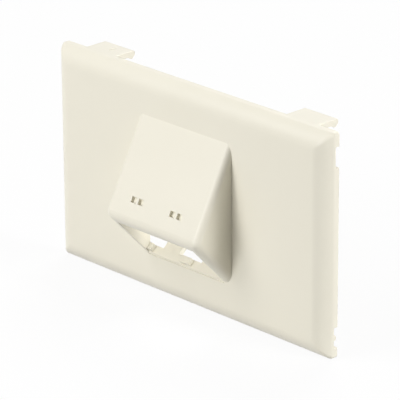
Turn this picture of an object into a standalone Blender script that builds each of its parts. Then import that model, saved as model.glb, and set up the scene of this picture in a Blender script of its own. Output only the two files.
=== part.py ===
"""Clip-on wall plate with an angled hood over two module ports.

The plate is one moulding: a shallow tray with a rounded front edge, a hollow hood whose
underside carries the port window, and four hooks that catch behind a mounting frame.
X runs along the width, Z is up and the front faces -Y. The origin is the centre of the
rim's back plane.
"""
import math

import bmesh
import bpy
from mathutils import Matrix, Vector

MM = 0.001

# Plate tray
PLATE_WIDTH = 120.0 * MM
PLATE_HEIGHT = 72.56 * MM
PLATE_DEPTH = 5.71 * MM
FACE_THICKNESS = 1.9 * MM
RIM_THICKNESS = 2.0 * MM
RIM_CORNER_RADIUS = 1.2 * MM
FACE_CORNER_RADIUS = 0.3 * MM
EDGE_ROUND_WIDTH = 6.0 * MM
EDGE_ROUND_DEPTH = 3.37 * MM
TRAY_FILLET = 2.2 * MM

# Ports: the pitch sets the stops, the markers, the window and the hood round them
PORT_PITCH = 17.13 * MM
HOOD_SIDE_CLEARANCE = 0.92 * MM
HOOD_WALL = 2.5 * MM
RAIL_WIDTH = 1.24 * MM

# Hood on the front face
HOOD_TOP_HEIGHT = 23.25 * MM
HOOD_SILL_DROP = 22.34 * MM
SLOPE_ANGLE = math.radians(27.76)
UNDERSIDE_ANGLE = math.radians(46.3)
RIDGE_RADIUS = 2.1 * MM
LIP_RADIUS = 3.0 * MM
CHEEK_RADIUS = 2.7 * MM

# Port window in the hood's underside
PANEL_THICKNESS = 2.45 * MM
WINDOW_LENGTH = 18.6 * MM
SILL_STRIP = 0.15 * MM

# Stops that keep two modules apart along the sill
STOP_WIDTH = 4.02 * MM
STOP_REACH = 1.6 * MM
STOP_RECESS = 0.38 * MM
STOP_TOP = 2.63 * MM

# Latch tongue behind the sill of each port
TONGUE_WIDTH = 6.96 * MM
TONGUE_THICKNESS = 1.8 * MM
TONGUE_RISE = 6.2 * MM
TONGUE_SETBACK = 0.1 * MM
TONGUE_TIP_RADIUS = 0.5 * MM

# Fine groove in the face under the sill
GROOVE_DROP = 0.15 * MM
GROOVE_HEIGHT = 0.42 * MM
GROOVE_DEPTH = 0.25 * MM
GROOVE_OVERRUN = 0.4 * MM

# Square pockets for port markers, a pair above each port
POCKET_WIDTH = 2.2 * MM
POCKET_HEIGHT = 2.25 * MM
POCKET_DEPTH = 1.0 * MM
POCKET_PITCH = 3.12 * MM
POCKET_FROM_TOP = 25.01 * MM

# Hooks at the top and bottom of the rim
HOOK_SPACING = 88.76 * MM
HOOK_WIDTH = 13.69 * MM
HOOK_REACH = 8.75 * MM
HOOK_THICKNESS = 1.8 * MM
HOOK_SETBACK = 0.25 * MM
HOOK_ROOT = 1.4 * MM
HOOK_SIDE_RADIUS = 0.3 * MM
BARB_DEPTH = 0.7 * MM
BARB_TIP_LENGTH = 0.6 * MM
BARB_LEAD = 1.25 * MM
BARB_RAMP = 1.2 * MM
HOOK_END_RADIUS = 0.7 * MM

# Gate mark that the moulding's runner left on top of the upper left hook
GATE_WIDTH = 0.8 * MM
GATE_LENGTH = 2.4 * MM
GATE_PROUD = 0.12 * MM
GATE_FROM_RIM = 4.7 * MM
GATE_OFFSET = 0.7 * MM

# Notches in the back edge of both side walls, a little lower than the plate's middle
NOTCH_HEIGHT = 6.6 * MM
NOTCH_DEPTH = 1.5 * MM
NOTCH_SPACING = 57.8 * MM
NOTCH_DROP = 0.5 * MM

# How far a cutter runs past the surface it cuts, and a joined shape into what holds it,
# and how far the hollow stops short of the plane of the sill, which the window cuts
PAST = 1.0 * MM
SUNK = 0.3 * MM
SHORT = 0.05 * MM

CORNER_STEPS = 6
EDGE_STEPS = 12
RADIUS_STEPS = 6
SMALL_STEPS = 3
SHARP_ANGLE = math.radians(35.0)

IVORY = (0.84, 0.81, 0.71, 1.0)


def clear_scene():
    for item in list(bpy.data.objects):
        bpy.data.objects.remove(item, do_unlink=True)


def ivory_plastic():
    material = bpy.data.materials.new("ivory_plastic")
    material.use_nodes = True
    shader = material.node_tree.nodes["Principled BSDF"]
    shader.inputs["Base Color"].default_value = IVORY
    shader.inputs["Roughness"].default_value = 0.45
    shader.inputs["Metallic"].default_value = 0.0
    return material


def object_from(bm, name):
    bmesh.ops.recalc_face_normals(bm, faces=bm.faces)
    mesh = bpy.data.meshes.new(name)
    bm.to_mesh(mesh)
    bm.free()
    item = bpy.data.objects.new(name, mesh)
    bpy.context.scene.collection.objects.link(item)
    return item


def hide_guide(item):
    item.hide_render = True
    item.display_type = "WIRE"
    return item


def rounded_rectangle(width, height, radius, y):
    """Points of a rectangle with round corners in the plane at y, counter-clockwise."""
    radius = min(radius, width / 2, height / 2)
    points = []
    for quarter in range(4):
        start = quarter * math.pi / 2
        middle = start + math.pi / 4
        centre_x = math.copysign(width / 2 - radius, math.cos(middle))
        centre_z = math.copysign(height / 2 - radius, math.sin(middle))
        for step in range(CORNER_STEPS + 1):
            angle = start + step * math.pi / 2 / CORNER_STEPS
            x = centre_x + radius * math.cos(angle)
            z = centre_z + radius * math.sin(angle)
            points.append(Vector((x, y, z)))
    return points


def loft(name, rings):
    """Closed solid through rings that all have the same number of points."""
    bm = bmesh.new()
    loops = [[bm.verts.new(point) for point in ring] for ring in rings]
    count = len(loops[0])
    for near, far in zip(loops, loops[1:]):
        for i in range(count):
            j = (i + 1) % count
            bm.faces.new((near[i], near[j], far[j], far[i]))
    bm.faces.new(loops[0])
    bm.faces.new(loops[-1])
    return object_from(bm, name)


def add_prism(bm, profile, low_x, high_x):
    """Extrude a closed (y, z) profile along X, and give back its two end faces' vertices."""
    ends = []
    for x in (low_x, high_x):
        ends.append([bm.verts.new((x, y, z)) for y, z in profile])
    count = len(profile)
    for i in range(count):
        j = (i + 1) % count
        bm.faces.new((ends[0][i], ends[0][j], ends[1][j], ends[1][i]))
    bm.faces.new(ends[0])
    bm.faces.new(ends[1])
    return ends


def add_box(bm, low, high, frame=None):
    """Box between two corners, given in the axes of frame where there is one."""
    size = Vector(high) - Vector(low)
    middle = (Vector(high) + Vector(low)) / 2
    place = Matrix.Translation(middle) @ Matrix.Diagonal((*size, 1.0))
    if frame is not None:
        place = frame @ place
    return bmesh.ops.create_cube(bm, size=1.0, matrix=place)["verts"]


def round_by_weight(item, radius):
    """Bevel modifier whose width at an edge is radius times the edge's weight."""
    bevel = item.modifiers.new("round_edges", "BEVEL")
    bevel.limit_method = "WEIGHT"
    bevel.width = radius
    return bevel


def face_y():
    return -PLATE_DEPTH


def tray_floor_y():
    return -PLATE_DEPTH + FACE_THICKNESS


def cavity_half_width():
    """From the middle to the inner side of the hood's side wall."""
    return PORT_PITCH + HOOD_SIDE_CLEARANCE


def hood_half_width():
    return cavity_half_width() + HOOD_WALL


def window_half_width():
    return cavity_half_width() - RAIL_WIDTH


def outer_rings():
    """Rim, straight side wall and the round that leads to the front face."""
    rings = [rounded_rectangle(PLATE_WIDTH, PLATE_HEIGHT, RIM_CORNER_RADIUS, 0.0)]
    radius = (EDGE_ROUND_WIDTH ** 2 + EDGE_ROUND_DEPTH ** 2) / (2 * EDGE_ROUND_DEPTH)
    sweep = math.atan2(EDGE_ROUND_WIDTH, radius - EDGE_ROUND_DEPTH)
    for step in range(EDGE_STEPS + 1):
        angle = sweep * (1 - step / EDGE_STEPS)
        inset = EDGE_ROUND_WIDTH - radius * math.sin(angle)
        y = face_y() + radius * (1 - math.cos(angle))
        share = inset / EDGE_ROUND_WIDTH
        corner = RIM_CORNER_RADIUS * (1 - share) + FACE_CORNER_RADIUS * share
        width = PLATE_WIDTH - 2 * inset
        height = PLATE_HEIGHT - 2 * inset
        rings.append(rounded_rectangle(width, height, corner, y))
    return rings


def tray_rings():
    """The hollow behind the face, with a fillet round its floor."""
    width = PLATE_WIDTH - 2 * RIM_THICKNESS
    height = PLATE_HEIGHT - 2 * RIM_THICKNESS
    corner = max(RIM_CORNER_RADIUS - RIM_THICKNESS, FACE_CORNER_RADIUS)
    fillet = min(TRAY_FILLET, PLATE_DEPTH - FACE_THICKNESS)
    rings = [rounded_rectangle(width, height, corner, PAST)]
    for step in range(EDGE_STEPS + 1):
        angle = math.pi / 2 * step / EDGE_STEPS
        inset = fillet * (1 - math.cos(angle))
        y = tray_floor_y() + fillet * (1 - math.sin(angle))
        share = inset / fillet
        radius = corner * (1 - share) + FACE_CORNER_RADIUS * share
        rings.append(rounded_rectangle(width - 2 * inset, height - 2 * inset, radius, y))
    return rings


def crossing(point_a, way_a, point_b, way_b):
    """Where two lines of the (y, z) plane cross."""
    det = way_a[0] * way_b[1] - way_a[1] * way_b[0]
    gap_y = point_b[0] - point_a[0]
    gap_z = point_b[1] - point_a[1]
    along = (gap_y * way_b[1] - gap_z * way_b[0]) / det
    return point_a[0] + along * way_a[0], point_a[1] + along * way_a[1]


def port_point(rise, inward):
    """The (y, z) point at a distance up the underside from the sill and in through it."""
    y = face_y() - rise * math.cos(UNDERSIDE_ANGLE) + inward * math.sin(UNDERSIDE_ANGLE)
    z = -HOOD_SILL_DROP + rise * math.sin(UNDERSIDE_ANGLE) + inward * math.cos(UNDERSIDE_ANGLE)
    return y, z


def hood_profile(slope_inset, underside_inset, back_y):
    """Triangle between the slope, the underside and a back plane, as (y, z) points."""
    slope_way = (-math.sin(SLOPE_ANGLE), -math.cos(SLOPE_ANGLE))
    slope_point = (face_y() + slope_inset * math.cos(SLOPE_ANGLE),
                   HOOD_TOP_HEIGHT - slope_inset * math.sin(SLOPE_ANGLE))
    under_way = (-math.cos(UNDERSIDE_ANGLE), math.sin(UNDERSIDE_ANGLE))
    under_point = port_point(0.0, underside_inset)
    back_point = (back_y, 0.0)
    back_way = (0.0, 1.0)
    top = crossing(slope_point, slope_way, back_point, back_way)
    lip = crossing(slope_point, slope_way, under_point, under_way)
    sill = crossing(under_point, under_way, back_point, back_way)
    return [top, lip, sill]


def hood_outside():
    """Wedge of the hood, its ridges, cheeks and lip rounded by a weighted bevel."""
    bm = bmesh.new()
    profile = hood_profile(0.0, 0.0, face_y() + FACE_THICKNESS / 2)
    ends = add_prism(bm, profile, -hood_half_width(), hood_half_width())
    weights = bm.edges.layers.float.new("bevel_weight_edge")
    lip_half_angle = (math.pi / 2 - SLOPE_ANGLE + UNDERSIDE_ANGLE) / 2
    lip_width = LIP_RADIUS / math.tan(lip_half_angle)
    widest = max(RIDGE_RADIUS, CHEEK_RADIUS, lip_width)
    top, lip, sill = 0, 1, 2
    for end in ends:
        bm.edges.get((end[top], end[lip]))[weights] = RIDGE_RADIUS / widest
        bm.edges.get((end[lip], end[sill]))[weights] = CHEEK_RADIUS / widest
    bm.edges.get((ends[0][lip], ends[1][lip]))[weights] = lip_width / widest
    hood = object_from(bm, "hood_outside")
    round_by_weight(hood, widest).segments = RADIUS_STEPS
    return hide_guide(hood)


def hood_hollow():
    """Inside of the hood, open to the tray and bounded below by the plane of the sill."""
    bm = bmesh.new()
    back_y = tray_floor_y() / 2
    top, lip, _ = hood_profile(HOOD_WALL, PANEL_THICKNESS, back_y)
    knee = port_point(SILL_STRIP + SHORT, PANEL_THICKNESS)
    inward = (math.sin(UNDERSIDE_ANGLE), math.cos(UNDERSIDE_ANGLE))
    heel = crossing(knee, inward, (back_y, 0.0), (0.0, 1.0))
    add_prism(bm, [top, lip, knee, heel], -cavity_half_width(), cavity_half_width())
    return hide_guide(object_from(bm, "hood_hollow"))


def port_frame():
    """Axes of the ports: X, down the underside to the sill, and in through the panel."""
    down = Vector((0.0, math.cos(UNDERSIDE_ANGLE), -math.sin(UNDERSIDE_ANGLE)))
    inward = Vector((0.0, math.sin(UNDERSIDE_ANGLE), math.cos(UNDERSIDE_ANGLE)))
    across = Vector((1.0, 0.0, 0.0))
    turn = Matrix((across, down, inward)).transposed().to_4x4()
    return Matrix.Translation((0.0, face_y(), -HOOD_SILL_DROP)) @ turn


def port_window():
    bm = bmesh.new()
    half = window_half_width()
    sill_depth = FACE_THICKNESS / math.sin(UNDERSIDE_ANGLE)
    low = (-half, -SILL_STRIP - WINDOW_LENGTH, -PAST)
    high = (half, -SILL_STRIP, max(PANEL_THICKNESS, sill_depth) + PAST)
    add_box(bm, low, high, port_frame())
    return hide_guide(object_from(bm, "port_window"))


def port_stops():
    """Stops between and beside the two modules, standing out from the sill."""
    bm = bmesh.new()
    for place in (-1, 0, 1):
        centre = place * PORT_PITCH
        low = (centre - STOP_WIDTH / 2, -SILL_STRIP - STOP_REACH, STOP_RECESS)
        high = (centre + STOP_WIDTH / 2, -SILL_STRIP + SUNK, STOP_TOP)
        add_box(bm, low, high, port_frame())
    return hide_guide(object_from(bm, "port_stops"))


def latch_tongues():
    """Tongue behind each port's sill, with a rounded tip for the module's catch."""
    bm = bmesh.new()
    for side in (-1, 1):
        centre = side * PORT_PITCH / 2
        front = -SILL_STRIP + TONGUE_SETBACK
        low = (centre - TONGUE_WIDTH / 2, front, SUNK)
        high = (centre + TONGUE_WIDTH / 2, front + TONGUE_THICKNESS, TONGUE_RISE)
        verts = add_box(bm, low, high)
        tips = [vert for vert in verts if vert.co.z > (SUNK + TONGUE_RISE) / 2]
        edges = {edge for vert in tips for edge in vert.link_edges}
        tip_edges = [edge for edge in edges if all(vert in tips for vert in edge.verts)]
        radius = min(TONGUE_TIP_RADIUS, TONGUE_THICKNESS / 3)
        bmesh.ops.bevel(bm, geom=tip_edges, offset=radius, segments=SMALL_STEPS, profile=0.5,
                        affect="EDGES")
    bmesh.ops.transform(bm, matrix=port_frame(), verts=bm.verts)
    return hide_guide(object_from(bm, "latch_tongues"))


def sill_groove():
    bm = bmesh.new()
    half = window_half_width() + GROOVE_OVERRUN
    top = -HOOD_SILL_DROP - GROOVE_DROP
    low = (-half, face_y() - PAST, top - GROOVE_HEIGHT)
    high = (half, face_y() + GROOVE_DEPTH, top)
    add_box(bm, low, high)
    return hide_guide(object_from(bm, "sill_groove"))


def marker_pockets():
    """A pair of square pockets in the slope above each port."""
    bm = bmesh.new()
    down = Vector((0.0, -math.sin(SLOPE_ANGLE), -math.cos(SLOPE_ANGLE)))
    inward = Vector((0.0, math.cos(SLOPE_ANGLE), -math.sin(SLOPE_ANGLE)))
    across = Vector((1.0, 0.0, 0.0))
    turn = Matrix((across, inward, -down)).transposed().to_4x4()
    frame = Matrix.Translation((0.0, face_y(), HOOD_TOP_HEIGHT)) @ turn
    for port in (-1, 1):
        for place in (-1, 1):
            centre = port * PORT_PITCH / 2 + place * POCKET_PITCH / 2
            low = (centre - POCKET_WIDTH / 2, -PAST, -POCKET_FROM_TOP - POCKET_HEIGHT)
            high = (centre + POCKET_WIDTH / 2, POCKET_DEPTH, -POCKET_FROM_TOP)
            add_box(bm, low, high, frame)
    return hide_guide(object_from(bm, "marker_pockets"))


def hook_profile():
    """Section of a top hook: a shelf with a round end and a barb on its underside."""
    top = PLATE_HEIGHT / 2 - HOOK_SETBACK
    shelf = top - HOOK_THICKNESS
    tip = shelf - BARB_DEPTH
    radius = min(HOOK_END_RADIUS, HOOK_THICKNESS / 2)
    points = [(-HOOK_ROOT, top)]
    for step in range(RADIUS_STEPS + 1):
        angle = math.pi / 2 * (1 - step / RADIUS_STEPS)
        y = HOOK_REACH - radius + radius * math.cos(angle)
        z = top - radius + radius * math.sin(angle)
        points.append((y, z))
    lead_start = tip + BARB_LEAD
    points.append((HOOK_REACH, lead_start))
    points.append((HOOK_REACH - BARB_LEAD, tip))
    points.append((HOOK_REACH - BARB_LEAD - BARB_TIP_LENGTH, tip))
    points.append((HOOK_REACH - BARB_LEAD - BARB_TIP_LENGTH - BARB_RAMP, shelf))
    points.append((-HOOK_ROOT, shelf))
    return points


def snap_hooks():
    """Hooks that mirror each other top to bottom, with the long outer edges rounded."""
    bm = bmesh.new()
    weights = bm.edges.layers.float.new("bevel_weight_edge")
    rounded_edges = RADIUS_STEPS + 2
    for side in (-1, 1):
        centre = side * HOOK_SPACING / 2
        low_x = centre - HOOK_WIDTH / 2
        high_x = centre + HOOK_WIDTH / 2
        for upper in (1, -1):
            profile = [(y, upper * z) for y, z in hook_profile()]
            for end in add_prism(bm, profile, low_x, high_x):
                for near, far in zip(end[:rounded_edges], end[1:]):
                    bm.edges.get((near, far))[weights] = 1.0
    hooks = object_from(bm, "snap_hooks")
    round_by_weight(hooks, HOOK_SIDE_RADIUS).segments = SMALL_STEPS
    return hide_guide(hooks)


def gate_mark():
    bm = bmesh.new()
    centre = -HOOK_SPACING / 2 + GATE_OFFSET
    top = PLATE_HEIGHT / 2 - HOOK_SETBACK
    low = (centre - GATE_WIDTH / 2, GATE_FROM_RIM - GATE_LENGTH / 2, top - SUNK)
    high = (centre + GATE_WIDTH / 2, GATE_FROM_RIM + GATE_LENGTH / 2, top + GATE_PROUD)
    add_box(bm, low, high)
    return hide_guide(object_from(bm, "gate_mark"))


def rim_notches():
    bm = bmesh.new()
    for side in (-1, 1):
        inner = side * (PLATE_WIDTH / 2 - RIM_THICKNESS - PAST)
        outer = side * (PLATE_WIDTH / 2 + PAST)
        for upper in (-1, 1):
            centre = upper * NOTCH_SPACING / 2 - NOTCH_DROP
            low = (min(inner, outer), -NOTCH_DEPTH, centre - NOTCH_HEIGHT / 2)
            high = (max(inner, outer), PAST, centre + NOTCH_HEIGHT / 2)
            add_box(bm, low, high)
    return hide_guide(object_from(bm, "rim_notches"))


def combine(body, tool, operation):
    modifier = body.modifiers.new(tool.name, "BOOLEAN")
    modifier.operation = operation
    modifier.solver = "EXACT"
    modifier.object = tool


def settle(body):
    """Keep the combined shape as the body's own mesh, smooth but for its sharp edges."""
    graph = bpy.context.evaluated_depsgraph_get()
    mesh = bpy.data.meshes.new_from_object(body.evaluated_get(graph))
    body.modifiers.clear()
    body.data = mesh
    mesh.shade_smooth()
    mesh.set_sharp_from_angle(angle=SHARP_ANGLE)


def build_faceplate():
    plate = loft("faceplate", outer_rings())
    tray = hide_guide(loft("tray_hollow", tray_rings()))
    combine(plate, hood_outside(), "UNION")
    combine(plate, tray, "DIFFERENCE")
    combine(plate, hood_hollow(), "DIFFERENCE")
    combine(plate, port_window(), "DIFFERENCE")
    combine(plate, port_stops(), "UNION")
    combine(plate, latch_tongues(), "UNION")
    combine(plate, sill_groove(), "DIFFERENCE")
    combine(plate, snap_hooks(), "UNION")
    combine(plate, gate_mark(), "UNION")
    combine(plate, marker_pockets(), "DIFFERENCE")
    combine(plate, rim_notches(), "DIFFERENCE")
    settle(plate)
    plate.data.materials.append(ivory_plastic())
    return plate


def main():
    clear_scene()
    build_faceplate()


main()
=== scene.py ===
"""Two-port wall plate in ivory moulded plastic, standing on a white studio floor."""
import math

import bmesh
import bpy
from mathutils import Matrix, Vector


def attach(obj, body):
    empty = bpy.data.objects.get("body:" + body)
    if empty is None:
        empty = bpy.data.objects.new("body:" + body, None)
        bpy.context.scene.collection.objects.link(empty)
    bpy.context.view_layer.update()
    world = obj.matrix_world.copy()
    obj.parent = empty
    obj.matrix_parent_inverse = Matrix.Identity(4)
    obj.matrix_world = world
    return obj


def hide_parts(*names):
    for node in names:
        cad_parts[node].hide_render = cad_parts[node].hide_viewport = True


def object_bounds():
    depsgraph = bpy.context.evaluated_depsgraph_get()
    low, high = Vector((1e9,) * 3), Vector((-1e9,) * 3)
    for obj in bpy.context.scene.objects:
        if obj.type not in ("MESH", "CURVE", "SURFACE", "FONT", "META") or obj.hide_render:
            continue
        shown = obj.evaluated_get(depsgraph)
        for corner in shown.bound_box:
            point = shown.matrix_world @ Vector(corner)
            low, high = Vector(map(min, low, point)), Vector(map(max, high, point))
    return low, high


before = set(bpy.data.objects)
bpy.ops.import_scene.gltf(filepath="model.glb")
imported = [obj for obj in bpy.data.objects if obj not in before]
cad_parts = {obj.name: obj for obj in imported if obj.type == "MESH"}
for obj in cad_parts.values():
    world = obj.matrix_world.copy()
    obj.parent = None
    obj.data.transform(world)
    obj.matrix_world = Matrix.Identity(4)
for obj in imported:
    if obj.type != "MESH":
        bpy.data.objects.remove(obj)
CAD_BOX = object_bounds()

# Camera, from the photograph's perspective: metres, degrees and millimetres
CAMERA_PLACE = (0.66032, -0.63157, 0.35540)
CAMERA_YAW = 46.2448
CAMERA_PITCH = 21.3531
CAMERA_ROLL = -0.3622
SENSOR_WIDTH = 36.0
LENS = 284.98

# Visible surface of the plate. Corners closer than WELD are one corner.
WELD = 0.000002
FLAT_ANGLE = math.radians(0.4)
INNER_CREASE = math.radians(24.0)
OUTER_CREASE = math.radians(35.0)

# Outer edges that are softened: their least angle, their shortest neighbour, and the rounding
SHARP_ANGLE = math.radians(40.0)
SHORT_EDGE = 0.00025
EDGE_SOFTNESS = 0.00008
EDGE_SEGMENTS = 3
EDGE_PROFILE = 0.5

# Round of the front edge: the solid's depth, and the depth that its highlights show
FACE_PLACE = -0.00571
ROUND_WIDTH = 0.006
ROUND_DEPTH = 0.00337
SEEN_DEPTH = 0.0039
# How far outside and inside its arc a corner point may lie and still belong to the round
ROUND_MATCH = 0.00003
CORNER_REACH = 0.0009

# Marker pockets on the slope, known by the direction and the area of their floors
SLOPE_FACING = Vector((0.0, -0.8849, 0.4658))
SLOPE_UPHILL = Vector((0.0, 0.4658, 0.8849))
ALIGNED = 0.9999
POCKET_AREA = 4.95e-6
AREA_MATCH = 2e-8
POCKET_RAISE = 0.0004

# Ivory plastic
IVORY = (0.847, 0.811, 0.692, 1.0)
IVORY_DEEP = (0.835, 0.799, 0.679, 1.0)
MOTTLE_SCALE = 45.0
MOTTLE_DETAIL = 4.0
MOTTLE_LOW = 0.2
MOTTLE_HIGH = 0.6
SPECULAR = 0.5
ROUGHNESS = 0.34
ROUGHNESS_SWING = 0.06
GRAIN_SCALE = 2600.0
GRAIN_DETAIL = 3.0
GRAIN_HEIGHT = 0.00002
GRAIN_STRENGTH = 0.15

# Floor: half its width, the share of plain white that is seen, and the tone of the rest, which
# takes the plate's shadow
FLOOR_HALF = 3.0
FLOOR_WHITE = 0.92
FLOOR_SEEN = 0.9
# The same floor as other light meets it: a pale card round the plate on a greyer table
CARD_TONE = 0.48
TABLE_TONE = 0.35
CARD_INNER = 0.06
CARD_OUTER = 0.11

# World: white where it is seen, and no light of its own, because the lamps give all of it
WHITE = (1.0, 1.0, 1.0, 1.0)
WORLD_LEVEL = 0.0

# Softboxes, all at one distance from the plate's middle
LAMP_DISTANCE = 1.3
# name, degrees round from the front towards the plate's right, degrees up, metres across, watts
LAMPS = (
    ("lamp_back_left_high", -150.0, 50.0, 0.6, 8.0),
    ("lamp_front_left_high", -35.0, 50.0, 0.6, 5.1),
    ("lamp_front_left", -35.0, 30.0, 0.6, 2.7),
    ("lamp_front_low", -10.0, 12.0, 0.6, 8.8),
    ("lamp_right_wide", 110.0, 12.0, 0.6, 7.6),
    ("lamp_right_low", 106.0, 5.0, 0.3, 3.3),
    ("lamp_right_high", 104.0, 45.0, 0.3, 2.9),
    ("lamp_right", 98.0, 20.0, 0.2, 1.7),
)


def add_object(name, data):
    item = bpy.data.objects.new(name, data)
    bpy.context.scene.collection.objects.link(item)
    return item


def new_nodes(owner):
    """Empty node tree of a material or a world."""
    owner.use_nodes = True
    tree = owner.node_tree
    tree.nodes.clear()
    return tree


def add_node(tree, kind, values=None, **settings):
    """New node with its settings, and with plain values on its sockets."""
    node = tree.nodes.new(kind)
    for name, value in settings.items():
        setattr(node, name, value)
    for name, value in (values or {}).items():
        node.inputs[name].default_value = value
    return node


def ivory_plastic():
    """Moulded plastic with a fine matt grain and a slight flow mottle."""
    material = bpy.data.materials.new("ivory_moulded_plastic")
    tree = new_nodes(material)
    link = tree.links.new
    output = add_node(tree, "ShaderNodeOutputMaterial")
    shader = add_node(tree, "ShaderNodeBsdfPrincipled", {"Specular IOR Level": SPECULAR})
    place = add_node(tree, "ShaderNodeTexCoord")

    mottle = add_node(
        tree, "ShaderNodeTexNoise", {"Scale": MOTTLE_SCALE, "Detail": MOTTLE_DETAIL})
    tone = add_node(tree, "ShaderNodeMix", {"A": IVORY_DEEP, "B": IVORY}, data_type="RGBA")
    spread = add_node(
        tree, "ShaderNodeMapRange", {"From Min": MOTTLE_LOW, "From Max": MOTTLE_HIGH})
    link(place.outputs["Object"], mottle.inputs["Vector"])
    link(mottle.outputs["Fac"], spread.inputs["Value"])
    link(spread.outputs["Result"], tone.inputs["Factor"])
    link(tone.outputs["Result"], shader.inputs["Base Color"])

    grain = add_node(tree, "ShaderNodeTexNoise", {"Scale": GRAIN_SCALE, "Detail": GRAIN_DETAIL})
    sheen_spread = add_node(
        tree, "ShaderNodeMapRange",
        {"To Min": ROUGHNESS - ROUGHNESS_SWING, "To Max": ROUGHNESS + ROUGHNESS_SWING})
    bump = add_node(
        tree, "ShaderNodeBump", {"Strength": GRAIN_STRENGTH, "Distance": GRAIN_HEIGHT})
    link(place.outputs["Object"], grain.inputs["Vector"])
    link(grain.outputs["Fac"], sheen_spread.inputs["Value"])
    link(sheen_spread.outputs["Result"], shader.inputs["Roughness"])
    link(grain.outputs["Fac"], bump.inputs["Height"])
    link(bump.outputs["Normal"], shader.inputs["Normal"])
    link(shader.outputs["BSDF"], output.inputs["Surface"])
    return material


def arc_radius(depth):
    """Radius of the arc that starts flat on the face and drops by depth over the round."""
    return (ROUND_WIDTH ** 2 + depth ** 2) / (2 * depth)


def deepen_round(bm):
    """Carry the front round further back, to the depth that its highlights show."""
    solid = arc_radius(ROUND_DEPTH)
    seen = arc_radius(SEEN_DEPTH)
    for vert in bm.verts:
        x, y, z = vert.co
        drop = y - FACE_PLACE
        if not WELD < drop < ROUND_DEPTH + WELD:
            continue
        along = min(ROUND_WIDTH, math.sqrt(solid ** 2 - (solid - drop) ** 2))
        inset = min(CAD_BOX[1][0] - abs(x), CAD_BOX[1][2] - abs(z))
        if -ROUND_MATCH < inset + along - ROUND_WIDTH < CORNER_REACH:
            vert.co.y = FACE_PLACE + seen - math.sqrt(seen ** 2 - along ** 2)


def is_pocket_floor(face):
    faces_out = face.normal.dot(SLOPE_FACING) > ALIGNED
    return faces_out and abs(face.calc_area() - POCKET_AREA) < AREA_MATCH


def shorten_pockets(bm):
    """Raise the lower end of each marker pocket to where the photo shows it."""
    for floor in [face for face in bm.faces if is_pocket_floor(face)]:
        middle = floor.calc_center_median().z
        for vert in [vert for vert in floor.verts if vert.co.z < middle]:
            ends = {end for edge in vert.link_edges for end in edge.verts}
            for end in ends - (set(floor.verts) - {vert}):
                end.co += SLOPE_UPHILL * POCKET_RAISE


def soften_edges(bm):
    """Round the sharp outer edges a little, as a mould does, where there is room for it."""
    sharp = []
    for edge in bm.edges:
        if not edge.is_convex or edge.calc_face_angle(0.0) <= SHARP_ANGLE:
            continue
        near = [other.calc_length() for vert in edge.verts for other in vert.link_edges]
        if min(near) > SHORT_EDGE:
            sharp.append(edge)
    bmesh.ops.bevel(
        bm, geom=sharp, offset=EDGE_SOFTNESS, offset_type="OFFSET", segments=EDGE_SEGMENTS,
        profile=EDGE_PROFILE, affect="EDGES", clamp_overlap=False,
    )


def keep_creases(bm):
    """Rounds and softened edges shade smoothly, and what folds more than that stays sharp."""
    for face in bm.faces:
        face.smooth = True
    for edge in bm.edges:
        limit = OUTER_CREASE if edge.is_convex else INNER_CREASE
        edge.smooth = edge.calc_face_angle(0.0) < limit


def surface_mesh(source):
    """A node's mesh, with its triangles joined into flat faces, and finished as a moulding."""
    bm = bmesh.new()
    corners = [bm.verts.new(vert.co) for vert in source.data.vertices]
    for face in source.data.polygons:
        bm.faces.new([corners[i] for i in face.vertices])
    bmesh.ops.remove_doubles(bm, verts=bm.verts, dist=WELD)
    bmesh.ops.dissolve_limit(bm, angle_limit=FLAT_ANGLE, verts=bm.verts, edges=bm.edges)
    deepen_round(bm)
    shorten_pockets(bm)
    soften_edges(bm)
    keep_creases(bm)
    mesh = bpy.data.meshes.new("plate_surface")
    bm.to_mesh(mesh)
    bm.free()
    return mesh


def plate_surface():
    """The moulding as the eye meets it, in place of the plain solid."""
    mesh = surface_mesh(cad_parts["faceplate"])
    mesh.materials.append(ivory_plastic())
    surface = add_object("plate_surface", mesh)
    shading = surface.modifiers.new("even_shading", "WEIGHTED_NORMAL")
    shading.keep_sharp = True
    graph = bpy.context.evaluated_depsgraph_get()
    surface.data = bpy.data.meshes.new_from_object(surface.evaluated_get(graph))
    surface.modifiers.clear()
    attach(surface, "root")
    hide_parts("faceplate")


def seen_rays(tree):
    """1 for what is seen, by the camera, in gloss or through glass, and 0 for other light."""
    rays = add_node(tree, "ShaderNodeLightPath")
    gloss = add_node(tree, "ShaderNodeMath", operation="MAXIMUM")
    seen = add_node(tree, "ShaderNodeMath", operation="MAXIMUM")
    tree.links.new(rays.outputs["Is Camera Ray"], gloss.inputs[0])
    tree.links.new(rays.outputs["Is Glossy Ray"], gloss.inputs[1])
    tree.links.new(gloss.outputs["Value"], seen.inputs[0])
    tree.links.new(rays.outputs["Is Transmission Ray"], seen.inputs[1])
    return seen.outputs["Value"]


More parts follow.
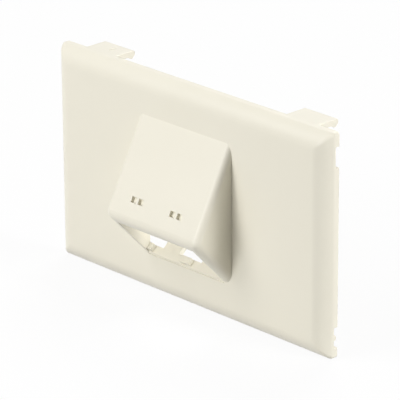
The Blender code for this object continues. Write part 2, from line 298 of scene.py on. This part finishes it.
def floor_material():
    """White with the plate's shadow where it is seen, and a card on a table to other light."""
    material = bpy.data.materials.new("floor_white")
    tree = new_nodes(material)
    link = tree.links.new
    output = add_node(tree, "ShaderNodeOutputMaterial")
    place = add_node(tree, "ShaderNodeTexCoord")
    away = add_node(tree, "ShaderNodeVectorMath", operation="LENGTH")
    tone = add_node(
        tree, "ShaderNodeMapRange",
        {"From Min": CARD_INNER, "From Max": CARD_OUTER,
         "To Min": CARD_TONE, "To Max": TABLE_TONE},
        interpolation_type="SMOOTHSTEP")
    table = add_node(tree, "ShaderNodeBsdfDiffuse")
    matt = add_node(
        tree, "ShaderNodeBsdfDiffuse", {"Color": (FLOOR_SEEN, FLOOR_SEEN, FLOOR_SEEN, 1.0)})
    glow = add_node(tree, "ShaderNodeEmission", {"Strength": 1.0})
    seen = add_node(tree, "ShaderNodeMixShader", {"Fac": FLOOR_WHITE})
    mix = add_node(tree, "ShaderNodeMixShader")
    link(place.outputs["Object"], away.inputs[0])
    link(away.outputs["Value"], tone.inputs["Value"])
    link(tone.outputs["Result"], table.inputs["Color"])
    link(matt.outputs["BSDF"], seen.inputs[1])
    link(glow.outputs["Emission"], seen.inputs[2])
    link(seen_rays(tree), mix.inputs["Fac"])
    link(table.outputs["BSDF"], mix.inputs[1])
    link(seen.outputs["Shader"], mix.inputs[2])
    link(mix.outputs["Shader"], output.inputs["Surface"])
    return material


def white_floor(level):
    """Flat floor under the plate's lower edge."""
    mesh = bpy.data.meshes.new("floor")
    half = FLOOR_HALF
    corners = [(-half, -half, 0.0), (half, -half, 0.0), (half, half, 0.0), (-half, half, 0.0)]
    mesh.from_pydata(corners, [], [(0, 1, 2, 3)])
    mesh.materials.append(floor_material())
    floor = add_object("floor", mesh)
    floor.location = (0.0, 0.0, level)


def white_world():
    """White all round where it is seen, and WORLD_LEVEL to other light."""
    world = bpy.data.worlds.new("studio")
    bpy.context.scene.world = world
    tree = new_nodes(world)
    link = tree.links.new
    output = add_node(tree, "ShaderNodeOutputWorld")
    room = add_node(tree, "ShaderNodeBackground", {"Color": WHITE, "Strength": WORLD_LEVEL})
    seen = add_node(tree, "ShaderNodeBackground", {"Color": WHITE})
    mix = add_node(tree, "ShaderNodeMixShader")
    link(seen_rays(tree), mix.inputs["Fac"])
    link(room.outputs["Background"], mix.inputs[1])
    link(seen.outputs["Background"], mix.inputs[2])
    link(mix.outputs["Shader"], output.inputs["Surface"])


def softbox(name, turn, rise, across, power):
    """Square area lamp that faces the plate from a given direction."""
    turn = math.radians(turn)
    rise = math.radians(rise)
    level = math.cos(rise)
    away = Vector((math.sin(turn) * level, -math.cos(turn) * level, math.sin(rise)))
    lamp = bpy.data.lights.new(name, "AREA")
    lamp.shape = "SQUARE"
    lamp.size = across
    lamp.energy = power
    item = add_object(name, lamp)
    item.location = away * LAMP_DISTANCE
    item.rotation_euler = (-away).to_track_quat("-Z", "Y").to_euler()


def photo_camera():
    """Camera at the photograph's place and angle."""
    data = bpy.data.cameras.new("camera")
    data.sensor_width = SENSOR_WIDTH
    data.lens = LENS
    camera = add_object("camera", data)
    turn = Matrix.Rotation(math.radians(CAMERA_YAW), 4, "Z")
    tilt = Matrix.Rotation(math.radians(90.0 - CAMERA_PITCH), 4, "X")
    roll = Matrix.Rotation(math.radians(CAMERA_ROLL), 4, "Z")
    camera.matrix_world = Matrix.Translation(CAMERA_PLACE) @ turn @ tilt @ roll
    bpy.context.scene.camera = camera


photo_camera()
plate_surface()
white_floor(CAD_BOX[0][2])
white_world()
for lamp_facts in LAMPS:
    softbox(*lamp_facts)
bpy.context.scene.view_settings.view_transform = "Standard"
